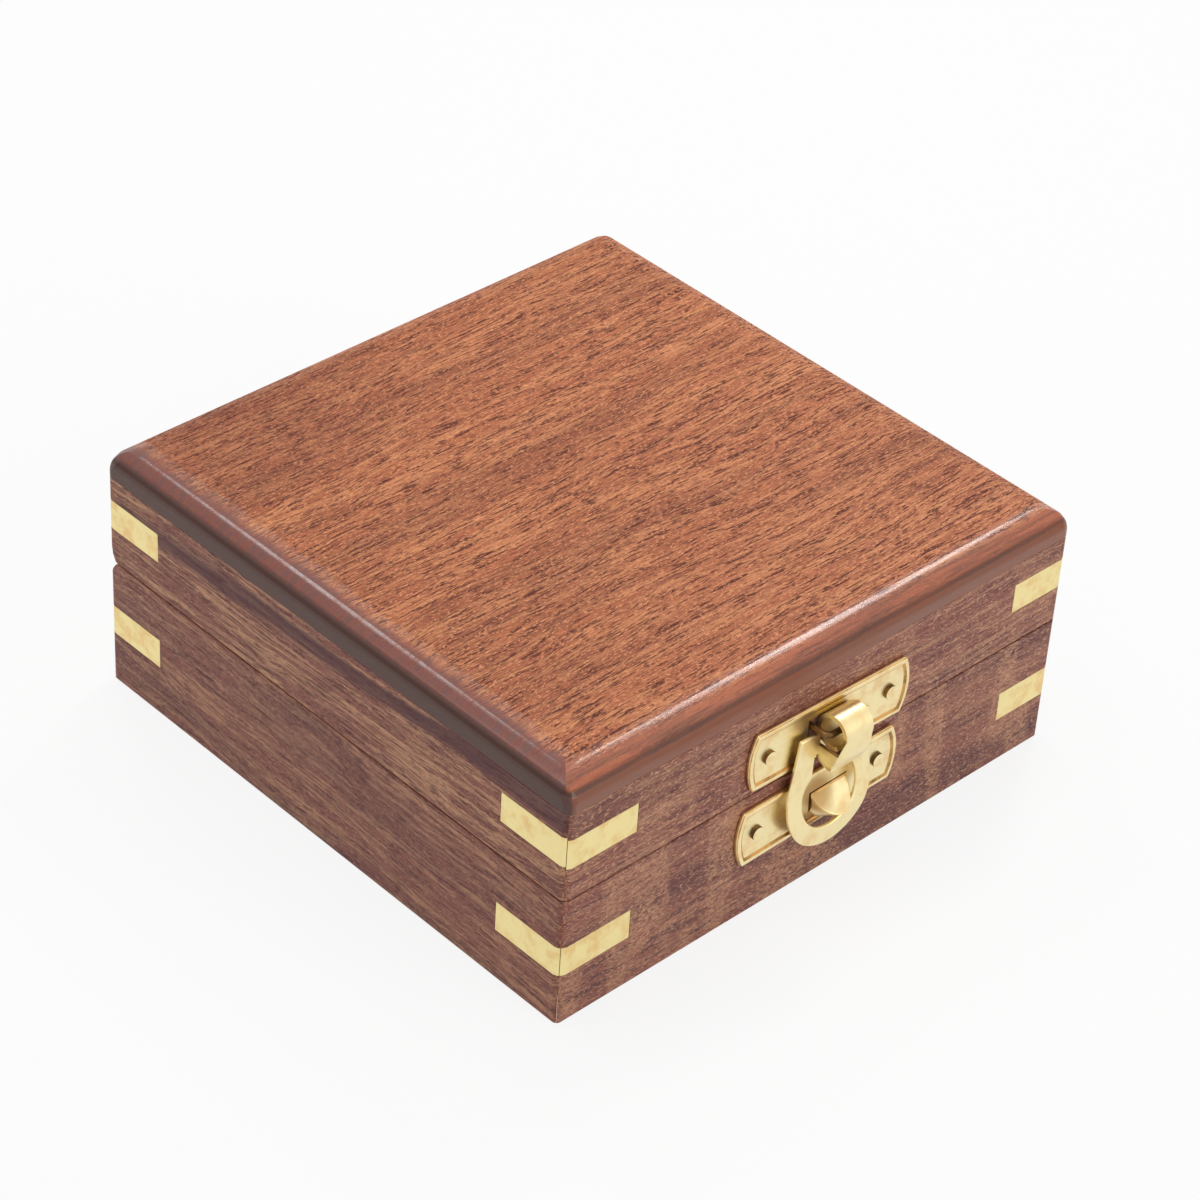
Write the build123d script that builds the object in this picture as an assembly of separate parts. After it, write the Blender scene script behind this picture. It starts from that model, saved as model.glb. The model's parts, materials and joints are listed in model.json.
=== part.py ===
"""Square wooden dice box with a hinged lid, brass corner inlays and a brass hasp latch.

Millimetres, +Z up. The origin is the centre of the underside. +X runs right along the
front, +Y runs to the back, where the hinges are, and the latch is on the front.
"""
import os
from math import hypot

from build123d import *

# ---------------------------------------------------------------- driving dimensions
# case
box_width = 100.0           # along X
box_depth = 100.0           # along Y
wall = 8.0                  # thickness of the mitred side boards
base_height = 22.3
seam_gap = 0.2              # closed lid above the base
lid_frame_height = 15.1     # side boards of the lid
top_thickness = 4.4         # lid top panel, laid on the frame
glue_gap = 0.02             # glue line in every mitre

# bevels of the lid top: width on the flat, drop at the edge
bevel_front = (4.0, 1.5)
bevel_back = (2.7, 1.0)
bevel_left = (2.6, 1.0)
bevel_right = (3.3, 1.2)

# bottom panel, let into a rebate from below
floor_thickness = 4.0
floor_rebate = 4.0          # how far the panel reaches under the walls
panel_fit = 0.1

# felt linings
felt = 1.0
felt_gap = 0.1              # glue between felt and wood
felt_below_rim = 1.0        # bare wood above the felt, at the rim

# V-shaped notch along the back, where lid and base meet
notch_depth = 1.9
notch_in_base = 2.7
notch_in_lid = 3.7

# brass corner strips: height, thickness and the gap that is left round each
strip_height = 5.1
strip_thickness = 0.8
strip_fit = 0.04
# side, end (-1 left or 1 right, seen from outside), length, lid strip's height above the
# lid's underside, base strip's height above the ground; cut and set by hand, so all differ
strip_places = {
    "front_left": ("front", -1, 13.1, 5.6, 8.85),
    "front_right": ("front", 1, 11.2, 6.1, 8.35),
    "right_front": ("right", -1, 12.4, 6.1, 8.5),
    "right_back": ("right", 1, 12.0, 6.0, 8.8),
    "back_right": ("back", -1, 12.2, 6.0, 8.8),
    "back_left": ("back", 1, 11.9, 5.9, 8.9),
    "left_back": ("left", -1, 12.1, 6.0, 8.95),
    "left_front": ("left", 1, 13.1, 6.0, 8.8),
}

# butt hinges
hinge_length = 20.0
hinge_spacing = 54.0        # between the middles of the two hinges
knuckle_radius = 1.25
hinge_pin_radius = 0.55
hinge_pin_fit = 0.05
leaf_thickness = 0.7
leaf_reach = 6.2            # from the pin's axis towards the inside
leaf_fit = 0.05             # leaf to its recess in the wood
knuckle_gap = 0.15          # between knuckles, and round them in the wood

# brass nails
nail_head_radius = 1.1
nail_head_height = 0.5
nail_shank_radius = 0.5
nail_length = 5.0
nail_tip_radius = 0.1
hinge_nail_head_radius = 0.9
hinge_nail_length = 4.0
nail_fit = 0.03

# latch plates on the front, as pressed from sheet
plate_length = 30.0         # between the corners
plate_height = 9.9
plate_bulge = 1.2           # the rounded ends stand out beyond the corners
plate_thickness = 0.6
rim_width = 1.0
rim_rise = 0.25
nail_spacing = 24.4
hasp_plate_x = 0.0          # middle of the upper plate
hasp_plate_z = 5.75         # above the lid's underside
hasp_plate_tilt = -1.6      # degrees, nailed on a little askew
catch_plate_x = -1.0
catch_plate_z = 15.65
catch_plate_tilt = 1.3

# staple that carries the hasp, let into the lid through the plate's window
window_half_width = 4.6
window_low = -2.2           # from the middle of the plate
window_high = 3.3
slit_length = 5.6
slit_height = 0.3
staple_radius = 0.5
staple_leg_x = 3.8
staple_bury = 4.0
staple_fit = 0.03

# hasp; heights are from the middle of its plate, reaches from the front of the wood
axis_out = 3.6
axis_up = 1.35
curl_radius = 2.7
curl_half_width = 3.0
curl_side_gap = 0.3         # between the curl and the ring's shoulders
sheet = 0.65                # thickness of the hasp's sheet
arm_front = 1.9
lip_front = 3.0             # the ring's lower lip stands out for a finger
lip_start = -9.0
lip_full = -15.5
ring_half_width = 8.4
ring_middle = -11.6         # centre of the round lower end
shoulder_start = -4.7       # where the sides begin to draw in
shoulder_half_width = 7.0
shoulder_top = 0.65
hole_radius = 5.5
hole_middle = -11.3
slot_half_width = 3.3
slot_top = -6.0
strap_knee = (5.9, -1.6)    # out and up of the bend in the strap below the curl

# catch: a low dome pressed out of the lower plate, cut open along its top
dome_x = 1.4                # from the middle of the plate
dome_z = -0.8
dome_radius = 4.0
dome_rise = 1.95
dome_mouth = 3.0            # the cut, above the dome's middle
mouth_half_width = 2.0

# ---------------------------------------------------------------- derived places
beyond = 1.0                # how far cutting shapes run past what they cut
lid_bottom = base_height + seam_gap
frame_top = lid_bottom + lid_frame_height
box_height = frame_top + top_thickness
half_width = box_width / 2
half_depth = box_depth / 2
hinge_y = half_depth - knuckle_radius
hinge_z = base_height + seam_gap / 2
leaf_y = hinge_y - leaf_reach

# name: length, distance of the outer face from the middle, turn about Z
sides = {
    "front": (box_width, half_depth, 0),
    "right": (box_depth, half_width, 90),
    "back": (box_width, half_depth, 180),
    "left": (box_depth, half_width, -90),
}

nodes = {}


# ---------------------------------------------------------------- helpers
def block(x_range, y_range, z_range):
    """A box between three pairs of limits."""
    low = [r[0] for r in (x_range, y_range, z_range)]
    size = [r[1] - r[0] for r in (x_range, y_range, z_range)]
    centred = Box(*size, align=(Align.MIN, Align.MIN, Align.MIN))
    return Pos(*low) * centred


def prism(points, z_low, height):
    """A plan outline raised from z_low."""
    return Pos(0, 0, z_low) * extrude(make_face(Polyline(*points, close=True)), height)


def along_x(points, x_low, x_high):
    """A (y, z) outline drawn out along X."""
    section = Plane.YZ * make_face(Polyline(*points, close=True))
    return Pos(x_low, 0, 0) * extrude(section, x_high - x_low)


def rod(radius, start, end):
    """A round rod between two points."""
    a, b = Vector(*start), Vector(*end)
    return Plane(origin=a, z_dir=b - a) * Cylinder(
        radius, (b - a).length, align=(Align.CENTER, Align.CENTER, Align.MIN))


def turned(shape, side):
    """Moves a shape that was drawn on the front to another side."""
    return Rot(0, 0, sides[side][2]) * shape


def mitred_bar(side, depth, z_low, height, gap):
    """A bar along a whole side with 45 degree ends, drawn on the front."""
    length, out = sides[side][:2]
    half = length / 2 - gap
    points = [(-half, -out), (half, -out), (half - depth, depth - out), (depth - half, depth - out)]
    return turned(prism(points, z_low, height), side)


def strip_shape(side, end, length, z_low, grow):
    """A corner strip, or with grow its pocket, mitred at the corner."""
    side_length, out = sides[side][:2]
    corner = side_length / 2 - (strip_fit - grow)
    depth = strip_thickness + grow
    inner = side_length / 2 - length - grow
    points = [(end * inner, -out), (end * corner, -out),
              (end * (corner - depth), depth - out), (end * inner, depth - out)]
    return turned(prism(points, z_low - grow, strip_height + 2 * grow), side)


# ---------------------------------------------------------------- wooden case
def back_notch(edge_z, rise):
    """The bevel along the back edge of the base (rise < 0) or the lid (rise > 0)."""
    slope = rise / notch_depth
    points = [(half_depth - notch_depth, edge_z), (half_depth + beyond, edge_z),
              (half_depth + beyond, edge_z + rise + slope * beyond)]
    return along_x(points, -box_width, box_width)


def hinge_recess(x_mid, z_low, z_high):
    """The pocket for one leaf, with room for the knuckles."""
    half = hinge_length / 2 + knuckle_gap
    leaf_room = block((x_mid - half, x_mid + half), (leaf_y - leaf_fit, half_depth), (z_low, z_high))
    barrel_room = rod(knuckle_radius + knuckle_gap, (x_mid - half, hinge_y, hinge_z),
                      (x_mid + half, hinge_y, hinge_z))
    return leaf_room + barrel_room


def hinge_positions():
    return {"left": -hinge_spacing / 2, "right": hinge_spacing / 2}


def make_case():
    reach_x = half_width - wall + floor_rebate
    reach_y = half_depth - wall + floor_rebate
    rebate = block((-reach_x, reach_x), (-reach_y, reach_y), (0, floor_thickness))
    floor_x, floor_y = reach_x - panel_fit, reach_y - panel_fit
    nodes["base_floor_panel"] = block((-floor_x, floor_x), (-floor_y, floor_y), (0, floor_thickness))

    leaf_room = leaf_thickness + leaf_fit
    for side in sides:
        base = mitred_bar(side, wall, 0, base_height, glue_gap) - rebate
        base -= back_notch(base_height, -notch_in_base)
        lid = mitred_bar(side, wall, lid_bottom, lid_frame_height, glue_gap)
        lid -= back_notch(lid_bottom, notch_in_lid)
        if side == "back":
            for x_mid in hinge_positions().values():
                base -= hinge_recess(x_mid, base_height - leaf_room, base_height)
                lid -= hinge_recess(x_mid, lid_bottom, lid_bottom + leaf_room)
        for strip_side, end, length, lid_z, base_z in strip_places.values():
            if strip_side == side:
                base -= strip_shape(side, end, length, base_z, strip_fit)
                lid -= strip_shape(side, end, length, lid_bottom + lid_z, strip_fit)
        nodes[f"base_{side}_board"] = base
        nodes[f"lid_{side}_board"] = lid

    for name, (side, end, length, lid_z, base_z) in strip_places.items():
        nodes[f"base_strip_{name}"] = strip_shape(side, end, length, base_z, 0)
        nodes[f"lid_strip_{name}"] = strip_shape(side, end, length, lid_bottom + lid_z, 0)


def make_top_panel():
    panel = block((-half_width, half_width), (-half_depth, half_depth), (frame_top, box_height))
    bevels = {"front": bevel_front, "back": bevel_back, "left": bevel_left, "right": bevel_right}
    for side, (width, drop) in bevels.items():
        out = sides[side][1]
        slope = drop / width
        points = [(-out + width, box_height), (-out + width, box_height + beyond),
                  (-out - beyond, box_height + beyond),
                  (-out - beyond, box_height - drop - slope * beyond)]
        panel -= turned(along_x(points, -box_width - box_depth, box_width + box_depth), side)
    nodes["lid_top_panel"] = panel


def felt_tray(z_closed, z_open):
    """A lining with four walls and a floor at z_closed, open at z_open."""
    x_out, y_out = half_width - wall - felt_gap, half_depth - wall - felt_gap
    x_in, y_in = x_out - felt, y_out - felt
    up = 1 if z_open > z_closed else -1
    solid = block((-x_out, x_out), (-y_out, y_out), sorted((z_closed, z_open)))
    hollow = block((-x_in, x_in), (-y_in, y_in), sorted((z_closed + up * felt, z_open)))
    return solid - hollow


def make_linings():
    nodes["base_lining"] = felt_tray(floor_thickness + felt_gap, base_height - felt_below_rim)
    nodes["lid_lining"] = felt_tray(frame_top - felt_gap, lid_bottom + felt_below_rim)


# ---------------------------------------------------------------- hinges
def hinge_leaf(x_mid, z_low, knuckle_spans, other_spans):
    """A leaf with its own knuckles, cut away round those of the other leaf."""
    half = hinge_length / 2
    leaf = block((x_mid - half, x_mid + half), (leaf_y, hinge_y), (z_low, z_low + leaf_thickness))
    for start, end in knuckle_spans:
        leaf += rod(knuckle_radius, (x_mid + start, hinge_y, hinge_z), (x_mid + end, hinge_y, hinge_z))
    for start, end in other_spans:
        leaf -= rod(knuckle_radius + knuckle_gap, (x_mid + start - knuckle_gap, hinge_y, hinge_z),
                    (x_mid + end + knuckle_gap, hinge_y, hinge_z))
    bore = hinge_pin_radius + hinge_pin_fit
    leaf -= rod(bore, (x_mid - half - beyond, hinge_y, hinge_z),
                (x_mid + half + beyond, hinge_y, hinge_z))
    return leaf


def headed_nail(head_radius, head_height, length, frame):
    """A round nail with its head on the frame's origin, pointing down the frame's -Z."""
    head = Cylinder(head_radius, head_height, align=(Align.CENTER, Align.CENTER, Align.MIN))
    shank = Cylinder(nail_shank_radius, length, align=(Align.CENTER, Align.CENTER, Align.MAX))
    point_length = 2 * nail_shank_radius
    point = Cone(nail_tip_radius, nail_shank_radius, point_length, align=(Align.CENTER, Align.CENTER, Align.MAX))
    return frame * (head + shank + Pos(0, 0, -length) * point)


def nail_hole(length, frame):
    """The hole that a nail's shank and point fill."""
    depth = length + 2 * nail_shank_radius + nail_fit
    return frame * Cylinder(nail_shank_radius + nail_fit, 2 * depth)


def make_hinges():
    third = (hinge_length - 2 * knuckle_gap) / 3
    half = hinge_length / 2
    outer = [(-half, -half + third), (half - third, half)]
    middle = [(-third / 2, third / 2)]
    nail_y = (leaf_y + hinge_y - knuckle_radius) / 2
    sink = leaf_thickness / 2
    base_nails, lid_nails = [], []
    for name, x_mid in hinge_positions().items():
        base_leaf = hinge_leaf(x_mid, base_height - leaf_thickness, outer, middle)
        lid_leaf = hinge_leaf(x_mid, lid_bottom, middle, outer)
        for x in (x_mid - hinge_length / 3, x_mid + hinge_length / 3):
            down = Pos(x, nail_y, base_height - sink)
            up = Pos(x, nail_y, lid_bottom + sink) * Rot(180, 0, 0)
            base_nails.append(headed_nail(hinge_nail_head_radius, sink, hinge_nail_length, down))
            lid_nails.append(headed_nail(hinge_nail_head_radius, sink, hinge_nail_length, up))
            for frame, level in ((down, "base"), (up, "lid")):
                countersink = frame * Cylinder(hinge_nail_head_radius + nail_fit, sink + nail_fit,
                                               align=(Align.CENTER, Align.CENTER, Align.MIN))
                hole = nail_hole(hinge_nail_length, frame)
                nodes[f"{level}_back_board"] -= hole
                if level == "base":
                    base_leaf -= countersink + hole
                else:
                    lid_leaf -= countersink + hole
        nodes[f"hinge_{name}_base_leaf"] = base_leaf
        nodes[f"hinge_{name}_lid_leaf"] = lid_leaf
        nodes[f"hinge_{name}_pin"] = rod(hinge_pin_radius, (x_mid - half, hinge_y, hinge_z),
                                         (x_mid + half, hinge_y, hinge_z))
    nodes["hinge_base_nails"] = Compound(base_nails)
    nodes["hinge_lid_nails"] = Compound(lid_nails)


# ---------------------------------------------------------------- latch
def front_frame(x, z, tilt):
    """On the front of the wood: local X runs right, Y up and Z outwards."""
    plane = Plane(origin=(x, -half_depth, z), x_dir=(1, 0, 0), z_dir=(0, -1, 0))
    return plane.location * Rot(0, 0, tilt)


hasp_frame = front_frame(hasp_plate_x, lid_bottom + hasp_plate_z, hasp_plate_tilt)
catch_frame = front_frame(catch_plate_x, catch_plate_z, catch_plate_tilt)


def plate_outline(inset):
    """A plate's outline, or the line at a distance inside it."""
    x, y = plate_length / 2 - inset, plate_height / 2 - inset
    tip = x + plate_bulge * y / (plate_height / 2)
    edge = (Line((-x, -y), (x, -y)) + ThreePointArc((x, -y), (tip, 0), (x, y))
            + Line((x, y), (-x, y)) + ThreePointArc((-x, y), (-tip, 0), (-x, -y)))
    return make_face(edge)


def latch_plate(board, nail_node, frame):
    """A pressed plate with a raised rim, and its two nails through the board."""
    plate = extrude(plate_outline(0), plate_thickness + rim_rise)
    plate -= Pos(0, 0, plate_thickness) * extrude(plate_outline(rim_width), 2 * rim_rise)
    nails = []
    for x in (-nail_spacing / 2, nail_spacing / 2):
        place = Pos(x, 0, plate_thickness)
        plate -= nail_hole(nail_length, place)
        nodes[board] -= frame * nail_hole(nail_length, place)
        nails.append(headed_nail(nail_head_radius, nail_head_height, nail_length, frame * place))
    nodes[nail_node] = Compound(nails)
    return plate


def make_hasp_plate():
    plate = latch_plate("lid_front_board", "hasp_plate_nails", hasp_frame)
    through = (-beyond, plate_thickness + rim_rise + beyond)
    plate -= block((-window_half_width, window_half_width), (window_low, window_high), through)
    slit_y = plate_height / 2 - rim_width
    plate -= block((-slit_length / 2, slit_length / 2), (slit_y - slit_height, slit_y), through)
    nodes["hasp_plate"] = hasp_frame * plate

    corner = 2 * staple_radius
    path = FilletPolyline((-staple_leg_x, axis_up, -staple_bury), (-staple_leg_x, axis_up, axis_out),
                          (staple_leg_x, axis_up, axis_out), (staple_leg_x, axis_up, -staple_bury),
                          radius=corner)
    start = Plane(origin=path @ 0, z_dir=path % 0)
    staple = sweep(start * Circle(staple_radius), path=path)
    nodes["hasp_staple"] = hasp_frame * staple
    for x in (-staple_leg_x, staple_leg_x):
        hole = rod(staple_radius + staple_fit, (x, axis_up, -staple_bury - staple_fit),
                   (x, axis_up, beyond))
        nodes["lid_front_board"] -= hasp_frame * hole


def make_catch_plate():
    plate = latch_plate("base_front_board", "catch_plate_nails", catch_frame)
    ball_radius = (dome_radius ** 2 + dome_rise ** 2) / (2 * dome_rise)
    inner_radius = ball_radius - plate_thickness
    depth = plate_thickness + dome_rise - ball_radius
    ball = Pos(dome_x, dome_z, depth) * Sphere(ball_radius)
    hollow = Pos(dome_x, dome_z, depth) * Sphere(inner_radius)
    reach = 2 * ball_radius
    in_front = block((-reach, reach), (-reach, dome_z + dome_mouth), (0, reach))
    mouth = block((dome_x - mouth_half_width, dome_x + mouth_half_width),
                  (dome_z + dome_mouth, dome_z + dome_radius), (-beyond, 2 * plate_thickness))
    nodes["catch_plate"] = catch_frame * (plate + (ball & in_front) - (hollow & in_front) - mouth)


def ring_outline():
    """The hasp seen from the front, without the curl."""
    low = ring_middle - ring_half_width
    edge = (Polyline((-ring_half_width, ring_middle), (-ring_half_width, shoulder_start),
                     (-shoulder_half_width, shoulder_top), (shoulder_half_width, shoulder_top),
                     (ring_half_width, shoulder_start), (ring_half_width, ring_middle))
            + ThreePointArc((ring_half_width, ring_middle), (0, low), (-ring_half_width, ring_middle)))
    hole = Pos(0, hole_middle) * Circle(hole_radius)
    slot_height = slot_top - hole_middle
    slot = Pos(0, hole_middle + slot_height / 2) * Rectangle(2 * slot_half_width, slot_height)
    gap = curl_half_width + curl_side_gap
    above = Pos(0, shoulder_top) * Rectangle(2 * gap, 2 * (shoulder_top - slot_top - sheet))
    return make_face(edge) - hole - slot - above


def ribbon(points, thickness, half_width_x):
    """A bent strip: (out, up) points along its front, drawn across the hasp."""
    front = [Vector(up, out) for out, up in points]
    back = []
    for i, p in enumerate(front):
        a, b = front[max(i - 1, 0)], front[min(i + 1, len(front) - 1)]
        run = b - a
        back.append(p + Vector(run.Y, -run.X) * (thickness / hypot(run.X, run.Y)))
    outline = make_face(Polyline(*front, *reversed(back), close=True))
    upright = Plane(origin=(-half_width_x, 0, 0), x_dir=(0, 1, 0), z_dir=(1, 0, 0))
    return upright * extrude(outline, 2 * half_width_x)


def make_hasp():
    ring_low = ring_middle - ring_half_width
    side_view = ribbon([(arm_front, shoulder_top + beyond), (arm_front, lip_start), (lip_front, lip_full),
                        (lip_front, ring_low - beyond)], sheet, ring_half_width + beyond)
    front_view = extrude(ring_outline(), lip_front + beyond)
    ring = side_view & front_view
    curl_middle = Pos(0, axis_up, axis_out) * Rot(0, 90, 0)
    curl = curl_middle * (Cylinder(curl_radius, 2 * curl_half_width)
                          - Cylinder(curl_radius - sheet, 4 * curl_half_width))
    strap = ribbon([(axis_out + curl_radius, axis_up), strap_knee, (arm_front, slot_top),
                    (arm_front, slot_top - sheet)], sheet, curl_half_width)
    nodes["hasp"] = hasp_frame * (ring + curl + strap)


# ---------------------------------------------------------------- build and write
make_case()
make_top_panel()
make_linings()
make_hinges()
make_hasp_plate()
make_catch_plate()
make_hasp()

os.makedirs("parts", exist_ok=True)
for node, shape in nodes.items():
    shape.label = node
    export_step(shape, f"parts/{node}.step")
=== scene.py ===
"""Finish of a small dice box: waxed boards, brass inlays, a hasp latch, hinges and felt.

Metres, +Z up, with the frame's origin under the middle of the box. X runs right along the
front and Y runs to the back. A latch part is shaped in its plate's own axes, with X right,
Y up and Z out from the wood, and is then set on the front of the box.
"""
import json
import math
from contextlib import contextmanager

import bmesh
import bpy
from bpy.props import FloatProperty, FloatVectorProperty, PointerProperty
from mathutils import Matrix, Vector


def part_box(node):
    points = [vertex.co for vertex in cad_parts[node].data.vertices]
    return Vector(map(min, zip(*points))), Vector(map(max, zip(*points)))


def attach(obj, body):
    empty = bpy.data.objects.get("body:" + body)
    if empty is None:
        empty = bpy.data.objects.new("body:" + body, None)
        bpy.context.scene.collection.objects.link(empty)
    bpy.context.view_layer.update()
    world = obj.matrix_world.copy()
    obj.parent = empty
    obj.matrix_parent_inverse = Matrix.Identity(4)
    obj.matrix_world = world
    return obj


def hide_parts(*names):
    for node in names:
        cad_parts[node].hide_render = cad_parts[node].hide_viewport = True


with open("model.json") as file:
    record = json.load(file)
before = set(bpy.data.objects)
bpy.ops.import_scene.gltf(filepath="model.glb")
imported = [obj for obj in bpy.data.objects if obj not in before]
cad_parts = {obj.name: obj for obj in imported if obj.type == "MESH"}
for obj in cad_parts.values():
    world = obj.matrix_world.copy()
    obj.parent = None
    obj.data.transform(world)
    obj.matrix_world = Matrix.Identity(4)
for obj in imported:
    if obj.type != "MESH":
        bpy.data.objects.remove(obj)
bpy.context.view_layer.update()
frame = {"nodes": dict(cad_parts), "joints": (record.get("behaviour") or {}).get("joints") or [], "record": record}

bl_info = {
    "name": "Dice Box",
    "version": (1, 0, 0),
    "blender": (4, 5, 0),
    "location": "View3D > Sidebar > Dice Box",
    "description": "Waxed boards, brass inlays, a hasp latch, hinges and felt for a dice box",
    "category": "Object",
}

MM = 0.001
UP, RIGHT, BACK = Vector((0, 0, 1)), Vector((1, 0, 0)), Vector((0, 1, 0))

# ---------------------------------------------------------------- places from the frame
HALF_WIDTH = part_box("lid_top_panel")[1].x
HALF_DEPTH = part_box("lid_top_panel")[1].y
BOX_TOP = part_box("lid_top_panel")[1].z
FRAME_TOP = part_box("lid_top_panel")[0].z
SIDES = {"front": -BACK, "right": RIGHT, "back": BACK, "left": -RIGHT}
BODY_OF = {node: body for body, nodes in frame["record"]["behaviour"]["bodies"].items()
           for node in nodes}
HASP_JOINT = next(j for j in frame["joints"] if j["name"] == "hasp_pivot")


def srgb(red, green, blue):
    """A colour given as 0 to 255 on the screen, as the linear values that shaders take."""
    def linear(part):
        part /= 255
        return part / 12.92 if part <= 0.04045 else ((part + 0.055) / 1.055) ** 2.4
    return linear(red), linear(green), linear(blue)


def shade(colour, share):
    """A colour at a share of its brightness."""
    return [part * share for part in colour]


# ---------------------------------------------------------------- modelling helpers
def select_only(piece):
    bpy.ops.object.select_all(action="DESELECT")
    piece.select_set(True)
    bpy.context.view_layer.objects.active = piece


@contextmanager
def editing(piece, mode="VERT"):
    """Edit mode on one piece with nothing selected; gives its editable mesh."""
    select_only(piece)
    bpy.ops.object.mode_set(mode="EDIT")
    bpy.ops.mesh.select_mode(type=mode)
    bpy.ops.mesh.select_all(action="DESELECT")
    yield bmesh.from_edit_mesh(piece.data)
    bpy.ops.object.mode_set(mode="OBJECT")


def pick(mesh, parts, test):
    """Selects only the vertices, edges or faces that pass a test."""
    bpy.ops.mesh.select_all(action="DESELECT")
    for part in parts:
        if test(part):
            part.select_set(True)
    mesh.select_flush_mode()


def middle(edge):
    return (edge.verts[0].co + edge.verts[1].co) / 2


def named_active(name):
    """Names the primitive that was just added and settles its place into its mesh."""
    piece = bpy.context.active_object
    piece.name = piece.data.name = name
    select_only(piece)
    bpy.ops.object.transform_apply(location=True, rotation=True, scale=True)
    return piece


def copied(piece, name):
    """A second piece of the same shape, with a mesh of its own."""
    select_only(piece)
    bpy.ops.object.duplicate()
    copy = bpy.context.active_object
    copy.name = copy.data.name = name
    return copy


def add_block(name, low, high):
    """A box between two corners."""
    low, high = Vector(low), Vector(high)
    bpy.ops.object.select_all(action="DESELECT")
    bpy.ops.mesh.primitive_cube_add(size=1, location=(low + high) / 2, scale=high - low)
    return named_active(name)


def add_drum(name, radius, depth, centre, turn=(0, 0, 0), sides=64):
    """A cylinder, upright along Z unless it is turned."""
    bpy.ops.object.select_all(action="DESELECT")
    bpy.ops.mesh.primitive_cylinder_add(vertices=sides, radius=radius, depth=depth,
                                        location=centre, rotation=turn)
    return named_active(name)


def saw(piece, cuts):
    """Saws off what lies beyond each (point, outward normal) plane and closes the cut."""
    with editing(piece):
        for point, normal in cuts:
            bpy.ops.mesh.select_all(action="SELECT")
            bpy.ops.mesh.bisect(plane_co=point, plane_no=normal, use_fill=True,
                                clear_outer=True, threshold=1e-7)


def score(piece, cuts):
    """Adds edges where each (point, normal) plane crosses the piece and removes nothing."""
    with editing(piece):
        for point, normal in cuts:
            bpy.ops.mesh.select_all(action="SELECT")
            bpy.ops.mesh.bisect(plane_co=point, plane_no=normal, threshold=1e-7)


def rounded(corner, first, second, radius, steps=3):
    """Cuts that round the edge through corner, between two faces with these normals."""
    half_turn = first.angle(second) / 2
    centre = corner - (first + second).normalized() * radius / math.cos(half_turn)
    cuts = []
    for step in range(1, steps + 1):
        normal = first.slerp(second, step / (steps + 1))
        cuts.append((centre + normal * radius, normal))
    return cuts


def apply_modifier(piece, kind, **settings):
    """Adds a modifier with these settings and applies it."""
    select_only(piece)
    modifier = piece.modifiers.new(kind.title(), kind)
    for key, value in settings.items():
        setattr(modifier, key, value)
    bpy.ops.object.modifier_apply(modifier=modifier.name)


def combine(piece, operation, *others):
    """Cuts other pieces out of this one, or joins them to it, and removes them."""
    for other in others:
        apply_modifier(piece, "BOOLEAN", operation=operation, object=other,
                       solver="MANIFOLD")
        bpy.data.objects.remove(other)


def soften(piece, width, segments=2, angle=40):
    """Breaks the sharp edges."""
    apply_modifier(piece, "BEVEL", width=width, segments=segments, limit_method="ANGLE",
                   angle_limit=math.radians(angle), use_clamp_overlap=True)


def smooth(piece, angle=35):
    """Smooth shading that leaves the broad faces flat."""
    select_only(piece)
    bpy.ops.object.shade_smooth_by_angle(angle=math.radians(angle))
    apply_modifier(piece, "WEIGHTED_NORMAL", keep_sharp=True)


def mark(piece, chosen):
    """Sets apart the faces that take a piece's second finish."""
    for face in piece.data.polygons:
        face.material_index = int(chosen(face))


def from_frame(node, name):
    """A copy of a node's mesh, with its loose triangles merged into whole faces."""
    piece = bpy.data.objects.new(name, frame["nodes"][node].data.copy())
    piece.data.name = name
    bpy.context.scene.collection.objects.link(piece)
    with editing(piece):
        bpy.ops.mesh.customdata_custom_splitnormals_clear()
        bpy.ops.mesh.select_all(action="SELECT")
        bpy.ops.mesh.remove_doubles(threshold=1e-6)
        bpy.ops.mesh.dissolve_limited(angle_limit=math.radians(0.5))
    return piece


def fit_out(piece, body, material, slot, *nodes, second=None):
    """Gives a finished piece its material and its body, and hides the nodes it stands for; its slot is not used.
    """
    marks = [face.material_index for face in piece.data.polygons]
    piece.data.materials.clear()
    piece.data.materials.append(material)
    if second:
        piece.data.materials.append(second)
        piece.data.polygons.foreach_set("material_index", marks)
    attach(piece, body)
    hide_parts(*nodes)


# ---------------------------------------------------------------- shader expressions
PORE_DEPTH, SCRATCH_DEPTH, PILE_DEPTH = 0.035 * MM, 0.012 * MM, 0.15 * MM


class Value:
    """The output of a shader node, which takes part in sums as a number would."""

    def __init__(self, finish, socket):
        self.finish = finish
        self.socket = socket

    def __add__(self, other):
        return self.finish.maths("ADD", self, other)

    def __sub__(self, other):
        return self.finish.maths("SUBTRACT", self, other)

    def __rsub__(self, other):
        return self.finish.maths("SUBTRACT", other, self)

    def __mul__(self, other):
        return self.finish.maths("MULTIPLY", self, other)

    def __abs__(self):
        return self.finish.maths("ABSOLUTE", self, 0.0)

    __radd__ = __add__
    __rmul__ = __mul__

    def between(self, low, high):
        """0 below low, 1 above high and a soft step from one to the other."""
        return self.finish.node("ShaderNodeMapRange", {"interpolation_type": "SMOOTHSTEP"},
                                {"Value": self, "From Min": low, "From Max": high})


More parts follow.
